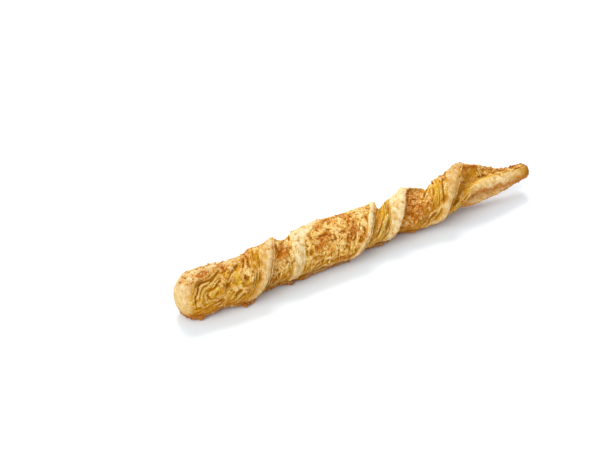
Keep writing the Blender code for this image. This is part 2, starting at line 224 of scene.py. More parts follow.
# %% The bare strip
def bare_surface(station, turn):
    """Points of the strip before its relief. turn runs round the strip: 0 is edge B, pi is edge A."""
    near_b = np.cos(turn / 2) ** 2
    on_cheese_face = is_cheese_face(turn)
    share = (turn % math.pi) / math.pi  # 0 just past one edge, 1 at the next
    swept = along(HALF_TURNS, station, math.pi) - turn
    facing_up = np.sin(VIEWED_SIDE - swept)
    open_share = smooth_step(NO_HOLLOW_BELOW, FULL_HOLLOW_ABOVE, facing_up)

    edge = along(EDGE_B_RADIUS, station) * near_b + along(EDGE_A_RADIUS, station) * (1 - near_b)
    face = by_face(CHEESE_FACE_RADIUS, PLAIN_FACE_RADIUS, station, turn)
    roundness = np.where(on_cheese_face, CHEESE_FACE_ROUNDNESS, PLAIN_FACE_ROUNDNESS)
    by_a = along(HOLLOW_BY_A, station) * open_share
    by_b = along(HOLLOW_BY_B, station) * open_share
    hollow = np.where(on_cheese_face, by_b, by_a)
    next_hollow = np.where(on_cheese_face, by_a, by_b)
    lip = np.minimum(next_hollow / LIP_FULL_DEPTH, 1) * smooth_step(LIP_START, 1, share)
    lip_before = np.minimum(hollow / LIP_FULL_DEPTH, 1) * (1 - smooth_step(0, HOLLOW_START, share))
    strap = by_face(STRAP_BEFORE_A, STRAP_BEFORE_B, station, turn, 1)
    strap_start = along(STRAP_START, station, 1)
    strap = strap * smooth_step(strap_start, strap_start + STRAP_RISE, share)
    radius = face + (edge - face) * np.maximum(np.abs(np.cos(turn)) ** roundness, strap)
    radius = radius + LIP_SWELL * (lip + lip_before)
    hollow_end = np.where(on_cheese_face, HOLLOW_END_BY_B, along(HOLLOW_END_BY_A, station, 1))
    radius = radius - hollow * smooth_step(0, HOLLOW_FLOOR, share) * (
        1 - smooth_step(hollow_end - HOLLOW_RISE, hollow_end, share))
    roll_place = along(ROLL_PLACE, station, 1)
    rolled = along(ROLL_SWELL, station) * bell(share, roll_place, ROLL_WIDTH)
    rolled = rolled - along(ROLL_GROOVE, station) * bell(share, roll_place + GROOVE_BESIDE, GROOVE_WIDTH)
    rolled = rolled + along(FLAP_SWELL, station) * bell(share, FLAP_PLACE, FLAP_WIDTH)
    radius = radius + np.where(on_cheese_face, 0, rolled)
    radius = radius * end_share(station)

    angle = VIEWED_SIDE - swept + LIP_LEAN * (lip + lip_before)
    x = station - LENGTH / 2
    y = along(SIDEWAYS_BEND, station) + radius * np.cos(angle)
    z = AXIS_HEIGHT + along(LIFT, station) + radius * np.sin(angle)
    return np.stack([x, y, z], -1)


def outward(points):
    """Unit normals of a grid of points whose rows run along the stick and whose columns go round it."""
    lengthwise = np.gradient(points, axis=0)
    crosswise = np.roll(points, -1, axis=1) - np.roll(points, 1, axis=1)
    normals = np.cross(crosswise, lengthwise)
    return normals / np.maximum(np.linalg.norm(normals, axis=2, keepdims=True), 1e-12)


edge_point = bare_surface(np.array(100 * MM), np.array(0.0))
print("edge B at 100 mm from the head:", np.round(edge_point / MM, 1), "mm")

# %% [markdown]
# The grid's rows lie closer together at the two ends, which are rounded, and its columns crowd towards
# the two edges, where the form turns most sharply.

# %% The grid
ROWS, COLUMNS = ((540, 180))
COLUMN_CROWDING = 0.18
TIP = 0.02 * MM
row_shares = (0, 0.03, 0.985, 1)  # of all rows, up to each of the next stations
row_stations = (TIP, 6 * MM, LENGTH - 3 * MM, LENGTH - TIP)
even_turns = np.arange(COLUMNS) / COLUMNS * 2 * math.pi
station, turn = np.meshgrid(np.interp(np.linspace(0, 1, ROWS), row_shares, row_stations),
                            even_turns - COLUMN_CROWDING * np.sin(2 * even_turns), indexing="ij")
bare = bare_surface(station, turn)
print("grid of", ROWS, "by", COLUMNS, "points")

# %% [markdown]
# ## Where the dough is smooth, flaky or covered in cheese
# The strip was cut from a folded sheet. Its cut edges puffed up into smooth pale skin. Between them the
# layers opened, and on one face grated cheese melted over them. Each finish is a mask, a number from
# 0 to 1 at every point of the grid, and the same masks later steer both the relief and the colours.
# Blender's noise is read in two spaces: on the stick itself, and on the strip with its twist taken out
# and stretched lengthwise, so that tears and strands run along the layers.


# %% Noise on the strip
def noise_at(points, size, shift=0.0):
    """Smooth noise between -1 and 1 with features of the given size."""
    flat = (points.reshape(-1, 3) / size + shift).tolist()
    return np.array([noise.noise(p) for p in flat]).reshape(points.shape[:-1])


def lumps_at(points, size, shift=0.0):
    """Round lumps side by side: 1 at the middle of each and about 0 in the creases between."""
    flat = (points.reshape(-1, 3) / size + shift).tolist()
    nearest = np.array([noise.voronoi(p)[0][0] for p in flat]).reshape(points.shape[:-1])
    return 1 - np.clip(nearest / 0.75, 0, 1) ** 2


on_cheese_face = is_cheese_face(turn)
share = (turn % math.pi) / math.pi
untwisted = np.stack([station, MEAN_RADIUS * np.cos(turn), MEAN_RADIUS * np.sin(turn)], -1)
patches = noise_at(bare, 9 * MM, 3.1)
grain = noise_at(bare, 2.4 * MM, 7.7)
tears = noise_at(untwisted * (0.3, 1, 1), 6 * MM, 1.3)
print("patches from", round(float(patches.min()), 2), "to", round(float(patches.max()), 2))

# %% [markdown]
# The smooth skin has a different width on each side of each edge, and changes along the stick. At the
# head the folded end counts as an edge too. The distance inwards from the skin decides what opened.


# %% Skin and tray marks
def smooth_least(softness, *distances):
    """The least of several distances, with the corners between them rounded."""
    return -softness * np.log(sum(np.exp(-d / softness) for d in distances))


SKIN_BEFORE_A = (
    (0, 7), (40, 6), (55, 8), (64, 9), (80, 9), (100, 6), (130, 4), (160, 5), (190, 5), (215, 8),
    (230, 10), (245, 8), (300, 6))
SKIN_BEFORE_B = (
    (0, 5), (70, 4), (88, 5), (130, 7), (160, 9), (172, 15), (195, 15), (215, 8), (230, 14), (240, 24),
    (255, 27), (300, 26))
SKIN_AFTER_A = ((220, 3), (235, 0))
SKIN_AFTER_B = (
    (0, 9), (25, 7), (42, 8), (60, 5), (78, 10), (88, 15), (96, 14), (106, 7), (125, 5), (175, 2))
HEAD_SKIN = 4 * MM
SKIN_CORNER = 3.5 * MM  # rounds the corners where two edges' skins meet
# How far the twist tore the layers
TORN = ((0, 0.1), (20, 0.15), (30, 0.7), (44, 1), (156, 1), (166, 0.5), (182, 0.5), (192, 1))
before_lip = (1 - share) * FACE_WIDTH
after_lip = share * FACE_WIDTH
skin_before = by_face(SKIN_BEFORE_A, SKIN_BEFORE_B, station, turn)
skin_after = by_face(SKIN_AFTER_B, SKIN_AFTER_A, station, turn)
torn = along(TORN, station, 1)
inward = smooth_least(SKIN_CORNER, before_lip - skin_before, after_lip - skin_after, station - HEAD_SKIN)
inward = inward + ((0.8 + 1.6 * torn) * patches + 0.5 * torn * grain) * MM
skin = 1 - smooth_step(-1.5 * MM, 2.5 * MM, inward)
opened = smooth_step(0, 4.5 * MM, inward)
tray = 1 - smooth_step(0.5 * MM, 3.5 * MM, bare[..., 2] + 1 * MM * patches)
print("skin covers", round(100 * float(skin.mean())), "% of the strip")

# %% [markdown]
# What is left inside is flaky, and its layers are counted inwards from the skin. Round the folded end of
# the head they bend into nested arcs. The whole number of the count names a layer, which gets its own tone
# and strength, and what is left over says how far a point is across its layer.

# %% Layers
LAYER_SPACING = 2.1 * MM
GAP_WIDTH = 0.26  # of the spacing
LAYER_CHANGE = 11 * MM  # how far along the stick a layer keeps its tone and strength
LAYER_JUMP = 3.7  # sets neighbouring layers apart in the noise
layer_count = inward / LAYER_SPACING + (0.3 + 0.4 * torn) * tears + 0.22 * grain + 0.4 * patches
layer_phase = layer_count % 1
layer_place = np.stack([np.floor(layer_count) * LAYER_JUMP, station / LAYER_CHANGE, turn], -1)
layer_strength = smooth_step(-0.4, 0.4, noise_at(layer_place, 1)) * opened
layer_strength = layer_strength * (1 - 0.85 * torn * smooth_step(2 * MM, 6 * MM, inward))
layer_tone = noise_at(layer_place, 0.7, 5.2)
gap = (bell(layer_phase, 0, GAP_WIDTH) + bell(layer_phase, 1, GAP_WIDTH)) * layer_strength
print("at most", round(float(layer_count.max())), "layers show side by side")

# %% [markdown]
# Where the twist pulled the strip apart, the layers tore into strands with dark pits between them. The
# pits are longer than wide and lie along the strands, which slant across the face where it was pulled
# askew. The slant is made by turning the noise with the station.

# %% Strands and pits
# Degrees by which the strands have crept round the strip
STRAND_SLANT = ((22, 0), (62, 105), (92, 105), (125, 170), (190, 170), (216, 250))
slanted_turn = turn + along(STRAND_SLANT, station, math.pi / 180)
slanted = np.stack([station, MEAN_RADIUS * np.cos(slanted_turn), MEAN_RADIUS * np.sin(slanted_turn)], -1)
strands = noise_at(slanted * (0.2, 1, 1), 1.6 * MM, 2.9)
pit_noise = noise_at(slanted * (0.36, 1, 1), 2.2 * MM, 6.1)
pits = (0.4 + 0.6 * torn) * opened * smooth_step(0.14, 0.46, pit_noise + 0.25 * patches)
print("pits cover", round(100 * float((pits > 0.5).mean())), "%")

# %% [markdown]
# Grated cheese lies thickest in the middle of one face, with less on the other. It is not an even
# sheet: it clings in patches, which the noise decides.

# %% Cheese
CHEESE_ON_ITS_FACE = (
    (0, 0), (14, 0.1), (28, 0.25), (40, 0.35), (50, 0.55), (62, 0.5), (80, 0.5), (97, 0.6), (110, 0.9),
    (125, 1.1), (140, 1.1), (160, 0.9), (180, 0.95), (195, 0.75), (205, 0.4), (214, 0.2), (224, 0.2),
    (240, 0.6))
CHEESE_ON_PLAIN_FACE = (
    (0, 0.2), (60, 0.5), (70, 0.85), (86, 0.7), (100, 0.5), (150, 0.35), (180, 0.2), (225, 0.25),
    (245, 0.2), (265, 0.4), (300, 0.5))
# Just past the edges cheese caught on the rims
CHEESE_BESIDE_A = ((232, 0), (242, 0.9))
CHEESE_BESIDE_B = ((0, 0), (10, 0.7), (38, 0.7), (48, 0))
RIM_CATCH = 3 * MM
CHEESE_HEIGHTS = (4 * MM, 20 * MM)  # little lies below the first, and it is thickest above the second
cheese_amount = by_face(CHEESE_ON_ITS_FACE, CHEESE_ON_PLAIN_FACE, station, turn, 1)
cheese_amount = cheese_amount * smooth_step(-1 * MM, 3 * MM, inward)
beside = by_face(CHEESE_BESIDE_B, CHEESE_BESIDE_A, station, turn, 1)
beside = beside * bell(after_lip - skin_after, 0, RIM_CATCH)
on_top = smooth_step(*CHEESE_HEIGHTS, bare[..., 2])
cheese_amount = (cheese_amount + beside) * (0.15 + 0.85 * on_top)
cheese = smooth_step(0.36, 0.66, cheese_amount + 0.6 * noise_at(bare, 6 * MM, 9.4) + 0.16 * grain)
cheese = cheese * (1 - tray)
flaky = (1 - skin) * (1 - cheese) * (1 - tray)
print("cheese covers", round(100 * float(cheese.mean())), "%, open layers",
      round(100 * float(flaky.mean())), "%")

# %% [markdown]
# The oven browned the two faces unevenly, so one mask says how far each part is browned. Bare skin has
# its own mask: it turned golden on some lips and scorched at the thin tip. Near the head clumps of the
# rim fried in the fat that ran out there, and butter gathered in the trough beside the roll and in the
# valleys just past edge A on the plain face.

# %% Browning
BROWNED_CHEESE_FACE = (
    (0, 0.4), (20, 1), (30, 0.7), (41, 0.15), (52, 0.7), (64, 0.6), (95, 0.1), (108, 0.5), (116, 0.8),
    (132, 0.6), (146, 0.4), (176, 0.7), (186, 1.35), (200, 1.45), (209, 0.6), (216, 0.5), (235, 0.6),
    (300, 0.8))
BROWNED_PLAIN_FACE = (
    (0, 0.3), (58, 0.4), (68, 0.9), (77, 0.8), (88, 0.1), (150, 0.1), (200, 0.2), (230, 0.35), (250, 0.3),
    (266, 0.3), (285, 0.5), (300, 1.2))
GOLDEN_SKIN = (
    (0, 0.3), (40, 0.35), (64, 0.55), (75, 0.5), (84, 0), (190, 0), (205, 0.2), (218, 0.7), (236, 0.75),
    (250, 0.15), (270, 0.3), (282, 0.5), (290, 1), (296, 1.2), (300, 1.5))
SCORCHED_SKIN = 1.5  # golden skin is 1
CLUMPS = ((11, 1), (18, 0), (36, 0), (43, 1), (55, 1), (61, 0))
TROUGH = ((232, 0), (240, 1), (258, 1), (268, 0))
TROUGH_PLACE, TROUGH_WIDTH = 0.27, 0.16
FULL_VALLEY_DEPTH = 6 * MM
browned = by_face(BROWNED_CHEESE_FACE, BROWNED_PLAIN_FACE, station, turn, 1)
browned = browned + 0.7 * beside + 1.3 * noise_at(bare, 9 * MM, 12.5)
browned = np.clip(browned + 0.35 * noise_at(bare, 3 * MM, 6.6) - 0.1, 0, 1)
golden = along(GOLDEN_SKIN, station, 1) + 0.35 * noise_at(bare, 4 * MM, 15.2)
golden = np.clip(golden, 0, SCORCHED_SKIN)
on_rim = 1 - smooth_step(2.5 * MM, 5.5 * MM, bare[..., 2] - 1.5 * MM * patches)
clump = along(CLUMPS, station, 1) * on_rim
buttery = np.where(on_cheese_face, 0, along(TROUGH, station, 1) * bell(share, TROUGH_PLACE, TROUGH_WIDTH))
valley = np.where(on_cheese_face, 0, along(HOLLOW_BY_A, station) / FULL_VALLEY_DEPTH)
valley = np.clip((1 - smooth_step(0.2, 0.5, share)) * valley * (1 - skin), 0, 1)
print("browned on average", round(float(browned.mean()), 2))

# %% [markdown]
# ## Relief
# Every point is pushed along its outward direction, by a height that adds up from simple forms. The
# skin gets shallow blisters and wrinkles, and a lip is highest a few millimetres before its edge. The
# layers are steps with narrow gaps between them. The cheese makes lumps of two sizes. Close above the
# rim that spread on the tray, the side is undercut.

# %% Relief of the baked surface
LIP_CROWN = 4.5 * MM  # how far before its edge a lip is highest
CROWN_WIDTH = 3 * MM
EDGE_WIDTH = 2 * MM
UNDERCUT = ((0, 0.2), (60, 0.5), (85, 1), (160, 1), (180, 0.6), (300, 0.4))
UNDERCUT_HEIGHT = 4.4 * MM
UNDERCUT_WIDTH = 1.5 * MM
UNDERCUT_DEPTH = 1.5 * MM
RIDGE_AT_B = ((70, 0), (84, 1), (94, 1), (104, 0))  # where edge B is a sharp fold
swell = 0.7 * MM * noise_at(bare, 14 * MM)
blisters = np.maximum(noise_at(bare, 5 * MM, 2.2), 0)
puckers = noise_at(bare, 2.6 * MM, 8.3)
wrinkles = noise_at(slanted * (0.6, 1, 1), 1.7 * MM, 3.8)
big_lumps = lumps_at(bare, 3.6 * MM)
small_lumps = lumps_at(bare, 1.9 * MM, 4.4)
step_down = 0.5 - layer_phase
undercut = along(UNDERCUT, station, 1) * bell(bare[..., 2], UNDERCUT_HEIGHT, UNDERCUT_WIDTH)
undercut = undercut * (0.9 + 0.6 * patches)
hollow_beside = by_face(HOLLOW_BY_A, HOLLOW_BY_B, station, turn)
leaning = np.minimum(hollow_beside / LIP_FULL_DEPTH, 1)
from_edge = np.minimum(before_lip, after_lip)
crown = leaning * (bell(before_lip, LIP_CROWN, CROWN_WIDTH) - 1.2 * bell(from_edge, 0, EDGE_WIDTH))
crown = crown + 0.4 * along(RIDGE_AT_B, station, 1) * bell(np.cos(turn / 2), 1, 0.02)

# Heights in millimetres
skin_height = crown + 0.7 * blisters + 0.5 * puckers + 0.2 * wrinkles + 0.25 * small_lumps
layer_height = 0.9 * layer_strength * step_down - gap - 1.4 * pits + 0.6 * torn * strands - 0.4 * opened
cheese_height = 0.8 * big_lumps + 0.7 * small_lumps + 0.6 * noise_at(bare, 6.5 * MM) - 0.5
relief = swell + (skin * skin_height + flaky * layer_height + cheese * cheese_height) * MM
relief = (relief - UNDERCUT_DEPTH * undercut) * end_share(station) * (1 - tray)
print("relief from", round(float(relief.min()) / MM, 1), "to", round(float(relief.max()) / MM, 1), "mm")

# %% [markdown]
# The underside is pressed flat and spread into a thin ragged rim, as it was on the tray. Then the whole
# surface is moved so that its box lies on the solid's.


# %% Resting on the tray
def settle(points, station):
    """Flattens the underside where it lay on the tray and spreads it into an uneven rim."""
    settled = points.copy()
    low = np.exp(-(np.maximum(points[..., 2], 0) / RIM_HEIGHT) ** 2)
    ragged = 1 + RIM_RAGGEDNESS * noise_at(points * (1, 1, 0), RIM_NOTCH)
    outwards = np.clip(points[..., 1] / RIM_HALF_WIDTH, -1, 1)
    settled[..., 1] += along(RIM_SPREAD, station) * low * ragged * outwards
    settled[..., 2] = np.maximum(points[..., 2], 0)
    return settled


surface = settle(bare + outward(bare) * relief[..., None], station)
lowest, highest = surface.reshape(-1, 3).min(axis=0), surface.reshape(-1, 3).max(axis=0)
solid_middle = (np.array(low_corner) + np.array(high_corner)) / 2
shift = np.append((solid_middle - (lowest + highest) / 2)[:2], low_corner[2] - lowest[2])
surface = surface + shift
facing = outward(surface)
print("moved onto the solid by", np.round(shift / MM, 2), "mm")

# %% [markdown]
# Hollows bake a little darker and collect fat, and they are also painted darker as shade, while what stands
# out gets a painted highlight. A cavity mask steers both: it compares each point's height with the average
# height round it. A second mask marks the tops of the lips, where loose crumbs were caught.


# %% Cavities
def averaged(grid, size):
    """Each value replaced by the average over a square of the given size on the pastry."""
    rows = round(size / 2 / (LENGTH / ROWS))
    columns = round(size / 2 / (2 * math.pi * MEAN_RADIUS / COLUMNS))
    padded = np.pad(np.pad(grid, ((rows, rows), (0, 0)), "edge"), ((0, 0), (columns, columns)), "wrap")
    windows = [padded[i:i + ROWS, j:j + COLUMNS]
               for i in range(2 * rows + 1) for j in range(2 * columns + 1)]
    return sum(windows) / len(windows)


CAVITY_SPAN = 5 * MM
FULL_CAVITY_DEPTH = 0.42 * MM
LIP_TOPS = (22 * MM, 30 * MM)  # no lip is marked below the first height, each above the second
CAUGHT_WIDTH = 6 * MM
sunk_by = averaged(relief, CAVITY_SPAN) - relief
cavity = np.clip(sunk_by / FULL_CAVITY_DEPTH, -1, 1)
caught = smooth_step(*LIP_TOPS, surface[..., 2]) * bell(from_edge, 0, CAUGHT_WIDTH)
print("deepest cavity", round(float(sunk_by.max() / MM), 2), "mm")

# %% [markdown]
# A grid becomes one closed mesh: a quad between each four neighbours and a fan of triangles at each
# tip. Masks go with it as attributes, which a material can read by name.


# %% From a grid to a mesh
def add_object(name, data):
    """A new object in the scene, made from its mesh, lamp or camera."""
    thing = bpy.data.objects.new(name, data)
    bpy.context.scene.collection.objects.link(thing)
    return thing


def add_mesh(name, vertices, faces, masks):
    """A smooth-shaded mesh object with its masks as attributes."""
    mesh = bpy.data.meshes.new(name)
    mesh.from_pydata(np.asarray(vertices).tolist(), [], faces)
    mesh.shade_smooth()
    for mask_name, values in masks.items():
        attribute = mesh.attributes.new(mask_name, "FLOAT", "POINT")
        attribute.data.foreach_set("value", np.asarray(values, np.float32).ravel())
    return add_object(name, mesh)


def tube_faces(rings, around, first=0):
    """Quads of one open tube of points, facing outwards."""
    ring, spoke = np.meshgrid(np.arange(rings - 1), np.arange(around), indexing="ij")
    after = (spoke + 1) % around
    quads = np.stack([ring * around + spoke, ring * around + after,
                      (ring + 1) * around + after, (ring + 1) * around + spoke], -1)
    return (quads.reshape(-1, 4) + first).tolist()


def closed_tube(grid):
    """Vertices and faces of a grid closed by a fan at each end."""
    rows, columns = grid.shape[:2]
    tips = [grid[0].mean(axis=0), grid[-1].mean(axis=0)]
    vertices = np.concatenate([grid.reshape(-1, 3), tips])
    faces = tube_faces(rows, columns)
    last = (rows - 1) * columns
    for j in range(columns):
        after = (j + 1) % columns
        faces.append([rows * columns, after, j])
        faces.append([rows * columns + 1, last + j, last + after])
    return vertices, faces


def with_tips(mask):
    """The mask's values, with one more for each tip."""
    return np.concatenate([mask.ravel(), [mask[0].mean(), mask[-1].mean()]])


print("a tube of 3 rings of 4 points has", len(tube_faces(3, 4)), "quads")

# %% [markdown]
# A few more masks are needed before the mesh is made: the underside, which baked brown and is also painted
# darker as shade, and creeps up the sides of the lifted tail, the fold between the roll and its flap, which
# is painted in shade, and the crests of the layers, which get painted highlights.

# %% The pastry
TAIL_START = (228 * MM, 250 * MM)  # the tail lifts off the floor between these stations
FULL_GROOVE_DEPTH = 4 * MM
FOLD_WIDTH = 0.1
CREST_PLACE, CREST_WIDTH = 0.25, 0.2  # of the layer spacing
in_tail = smooth_step(*TAIL_START, station)
# the underside: partly baked brown, partly painted shade where the surface faces down
under = smooth_step(0.05 - 0.5 * in_tail, 0.8 - 0.6 * in_tail, 0.3 * patches - facing[..., 2])
groove_place = along(ROLL_PLACE, station, 1) + GROOVE_BESIDE
in_groove = along(ROLL_GROOVE, station) / FULL_GROOVE_DEPTH * bell(share, groove_place, FOLD_WIDTH)
# the fold is painted darker as shade
fold = np.where(on_cheese_face, 0, in_groove)
# the crests get a painted highlight
crest = flaky * layer_strength * bell(layer_phase, CREST_PLACE, CREST_WIDTH)
masks = dict(skin=skin, cheese=cheese, tray=tray, under=under, undercut=undercut, browned=browned,
             golden=golden, clump=clump, buttery=buttery, valley=valley, fold=fold, cavity=cavity,
             strand=strands * torn * flaky, layers=layer_count, tone=layer_tone, gap=gap * flaky,
             crest=crest)
vertices, faces = closed_tube(surface)
pastry = add_mesh("pastry", vertices, faces, {name: with_tips(mask) for name, mask in masks.items()})
print("pastry:", len(vertices), "vertices,", sum(len(face) - 2 for face in faces), "triangles")

# %% [markdown]
# ## Grated cheese
# Grating makes short, slightly bent sticks of cheese between 1 and 2 mm thick. In the oven they soften,
# slump onto the dough and brown. A shred could be a curve with a bevel, but it has to hug an uneven
# surface, so each one walks over the pastry's own grid: a few small steps in a slowly turning direction,
# and a ring of points round each step.


# %% Walking on the pastry
LEAST_SPACING = 0.05 * MM


def read_grid(grid, row, column):
    """The grid's value between four neighbours, going round past the last column."""
    r = min(max(row, 0), ROWS - 1.001)
    i, j = int(r), int(column // 1)
    a, b = r - i, column - j
    j, k = j % COLUMNS, (j + 1) % COLUMNS
    return ((grid[i, j] * (1 - b) + grid[i, k] * b) * (1 - a)
            + (grid[i + 1, j] * (1 - b) + grid[i + 1, k] * b) * a)


def walk(row, column, heading, turning, step, count):
    """Points and outward directions met on a walk over the pastry, and the way ahead at each."""
    steps = []
    for _ in range(count):
        here = read_grid(surface, row, column)
        next_row = Vector(read_grid(surface, row + 1, column) - here)
        next_column = Vector(read_grid(surface, row, column + 1) - here)
        out = Vector(read_grid(facing, row, column)).normalized()
        forward = next_row.normalized()
        aside = out.cross(forward)
        ahead = forward * math.cos(heading) + aside * math.sin(heading)
        steps.append((Vector(here), out, ahead))
        row += step * math.cos(heading) / max(next_row.length, LEAST_SPACING)
        column -= step * math.sin(heading) / max(next_column.length, LEAST_SPACING)
        heading += turning
    return steps


path = walk(ROWS * 0.4, COLUMNS * 0.25, 0.5, 0.1, 1 * MM, 6)
print("a walk of", round((path[-1][0] - path[0][0]).length / MM, 1), "mm")

# %% [markdown]
# A shred is a bundle of rings, thinner at both ends. It sinks partly into the crust, as melted cheese
# does. All shreds go into one mesh, because they are one kind of thing with one finish.


# %% Shreds of cheese
class Heap:
    """Many small solids gathered for one mesh, with one toast value for each vertex."""

    def __init__(self):
        self.vertices = []
        self.faces = []
        self.toast = []
        self.count = 0

    def add_tube(self, rings, toast):
        """Adds a tube closed at both ends. rings is a list of equally long lists of points."""
        self.count += 1
        first, around = len(self.vertices), len(rings[0])
        self.faces += tube_faces(len(rings), around, first)
        last = first + (len(rings) - 1) * around
        self.faces.append(list(range(first, first + around))[::-1])
        self.faces.append(list(range(last, last + around)))
        for ring, value in zip(rings, toast):
            self.vertices += ring
            self.toast += [value] * around

    def build(self, name):
        return add_mesh(name, self.vertices, self.faces, {"toast": self.toast})


def ring_round(middle, out, ahead, radius, sides, flatness):
    """Points round a middle, in the plane across ahead."""
    aside = out.cross(ahead)
    angles = [2 * math.pi * k / sides for k in range(sides)]
    return [middle + aside * (radius * math.cos(a)) + out * (radius * flatness * math.sin(a))
            for a in angles]


SHRED_RINGS = 7
SHRED_SIDES = 6
SHRED_FLATNESS = 0.85


def shred_rings(row, column, length, radius, sunk):
    """The rings of one shred that lies on the pastry."""
    heading = draw.uniform(0, 2 * math.pi)
    turning = draw.uniform(-0.35, 0.35)
    path = walk(row, column, heading, turning, length / (SHRED_RINGS - 1), SHRED_RINGS)
    rings = []
    for i, (point, out, ahead) in enumerate(path):
        t = 2 * i / (SHRED_RINGS - 1) - 1
        swell = 1 - 0.45 * t ** 4 + draw.uniform(-0.3, 0.3)
        middle = point + out * radius * (1 - 2 * sunk)
        rings.append(ring_round(middle, out, ahead, radius * swell, SHRED_SIDES, SHRED_FLATNESS))
    return rings


print("one shred has", (SHRED_RINGS - 1) * SHRED_SIDES + 2, "faces")

# %% [markdown]
# A place for a shred is drawn at random and kept more often where much cheese lies. Each vertex also
# carries its toast, from 0 for cream to 1 for brown, which follows the browning of the dough below.

# %% Scattering the shreds
SHRED_COUNT = 420
SHRED_LENGTHS = (2.5, 6.5)  # millimetres
SHRED_RADII = (0.5, 0.9)  # millimetres
SHRED_SINKING = (0.55, 0.9)  # how much of its thickness sinks into the crust
LOWEST_SHRED = 4 * MM
shreds = Heap()
while shreds.count < SHRED_COUNT:
    at = (draw.uniform(4, ROWS - 8), draw.uniform(0, COLUMNS))
    chance = (read_grid(cheese_amount, *at) - 0.1) * read_grid(cheese, *at)
    if read_grid(surface, *at)[2] > LOWEST_SHRED and draw.random() < chance:
        length = draw.uniform(*SHRED_LENGTHS) * MM
        radius = draw.uniform(*SHRED_RADII) * MM
        rings = shred_rings(*at, length, radius, draw.uniform(*SHRED_SINKING))
        brown = min(max(draw.gauss(0.05, 0.13) + 0.6 * read_grid(browned, *at), 0), 1)
        shreds.add_tube(rings, [min(1, brown + draw.uniform(-0.05, 0.15)) for _ in rings])
cheese_shreds = shreds.build("cheese_shreds")
print("cheese_shreds:", shreds.count, "shreds,", len(shreds.vertices), "vertices")

# %% [markdown]
# Between the shreds lie finer crumbs of cheese, toasted from cream to brown. They also cling here and
# there to the bare skin, most to the tops of the lips, and they are darkest at the thin tip and along the
# rim, where they fried in larger clumps. A crumb is too small to bend, so its rings lie in a straight row.

# %% Toasted crumbs
CRUMB_COUNT = 1500
CRUMB_RINGS = ((-0.95, 0.4), (-0.55, 0.85), (0, 1), (0.55, 0.85), (0.95, 0.4))  # place, width
CRUMB_SIDES = 6
CRUMB_FLATNESS = 0.8
CRUMB_RADII = (0.25, 0.65)  # millimetres
CRUMB_STRETCH = (1, 1.7)  # its length over its thickness
CRUMB_STANDS_OUT = 0.3  # of its radius
LOWEST_CRUMB = 0.9 * MM
STRAY_CHANCE = 0.03
RIM_CHANCE = 0.45
RIM_TOP = 3 * MM
DARK_TIP = (280 * MM, 294 * MM)
crumbs = Heap()
while crumbs.count < CRUMB_COUNT:
    at = (draw.uniform(2, ROWS - 3), draw.uniform(0, COLUMNS))
    point, out, ahead = walk(*at, draw.uniform(0, 2 * math.pi), 0, 1 * MM, 1)[0]
    chance = STRAY_CHANCE + read_grid(cheese, *at) * (0.25 + 0.6 * read_grid(browned, *at))
    chance += 0.12 * read_grid(flaky, *at) * read_grid(torn, *at) + 0.3 * read_grid(caught, *at)
    clumping = read_grid(clump, *at)
    if point.z < RIM_TOP:
        chance = RIM_CHANCE + 0.5 * clumping
    if point.z < LOWEST_CRUMB + 0.4 * MM * clumping or draw.random() > chance:
        continue
    radius = draw.uniform(*CRUMB_RADII) * (1 + 0.9 * clumping) * MM
    stretch = draw.uniform(*CRUMB_STRETCH)
    middle = point + out * radius * CRUMB_STANDS_OUT
    rings = [ring_round(middle + ahead * (radius * stretch * x), out, ahead,
                        radius * width * draw.uniform(0.85, 1.15), CRUMB_SIDES, CRUMB_FLATNESS)
             for x, width in CRUMB_RINGS]
    toast = draw.uniform(0, 0.6) + 0.4 * read_grid(browned, *at)
    toast += 0.4 * float(smooth_step(*DARK_TIP, point.x + LENGTH / 2))
    if point.z < RIM_TOP:
        toast = draw.uniform(0.5, 1)
    crumbs.add_tube(rings, [toast] * len(rings))
toasted_crumbs = crumbs.build("toasted_crumbs")
print("toasted_crumbs:", crumbs.count, "crumbs,", len(crumbs.vertices), "vertices")

# %% [markdown]
# ## Finishes
# A material is a graph of nodes. Written out link by link it hides its own arithmetic, so a small class
# helps: Signal stands for the number that leaves a socket, and turns +, - and * into Math nodes.


# %% Shader arithmetic
class Signal:
    """A value leaving a node's socket. Arithmetic with it adds the Math nodes that work it out."""

    def __init__(self, finish, socket):
        self.finish = finish
        self.socket = socket

    def math(self, operation, first, second):
        return self.finish.node("Math", {"operation": operation}, {0: first, 1: second})

    def __add__(self, other):
        return self.math("ADD", self, other)

    def __sub__(self, other):
        return self.math("SUBTRACT", self, other)

    def __rsub__(self, other):
        return self.math("SUBTRACT", other, self)

    def __mul__(self, other):
        return self.math("MULTIPLY", self, other)

    __radd__ = __add__
    __rmul__ = __mul__


print("Signal works out +, - and *")

# %% [markdown]
# A second class holds one material and adds any node in one call. Colours are put on in coats: each one
# covers what is below it as far as its amount says.

# %% Materials
SPECKLE_ROUGHNESS = 0.55


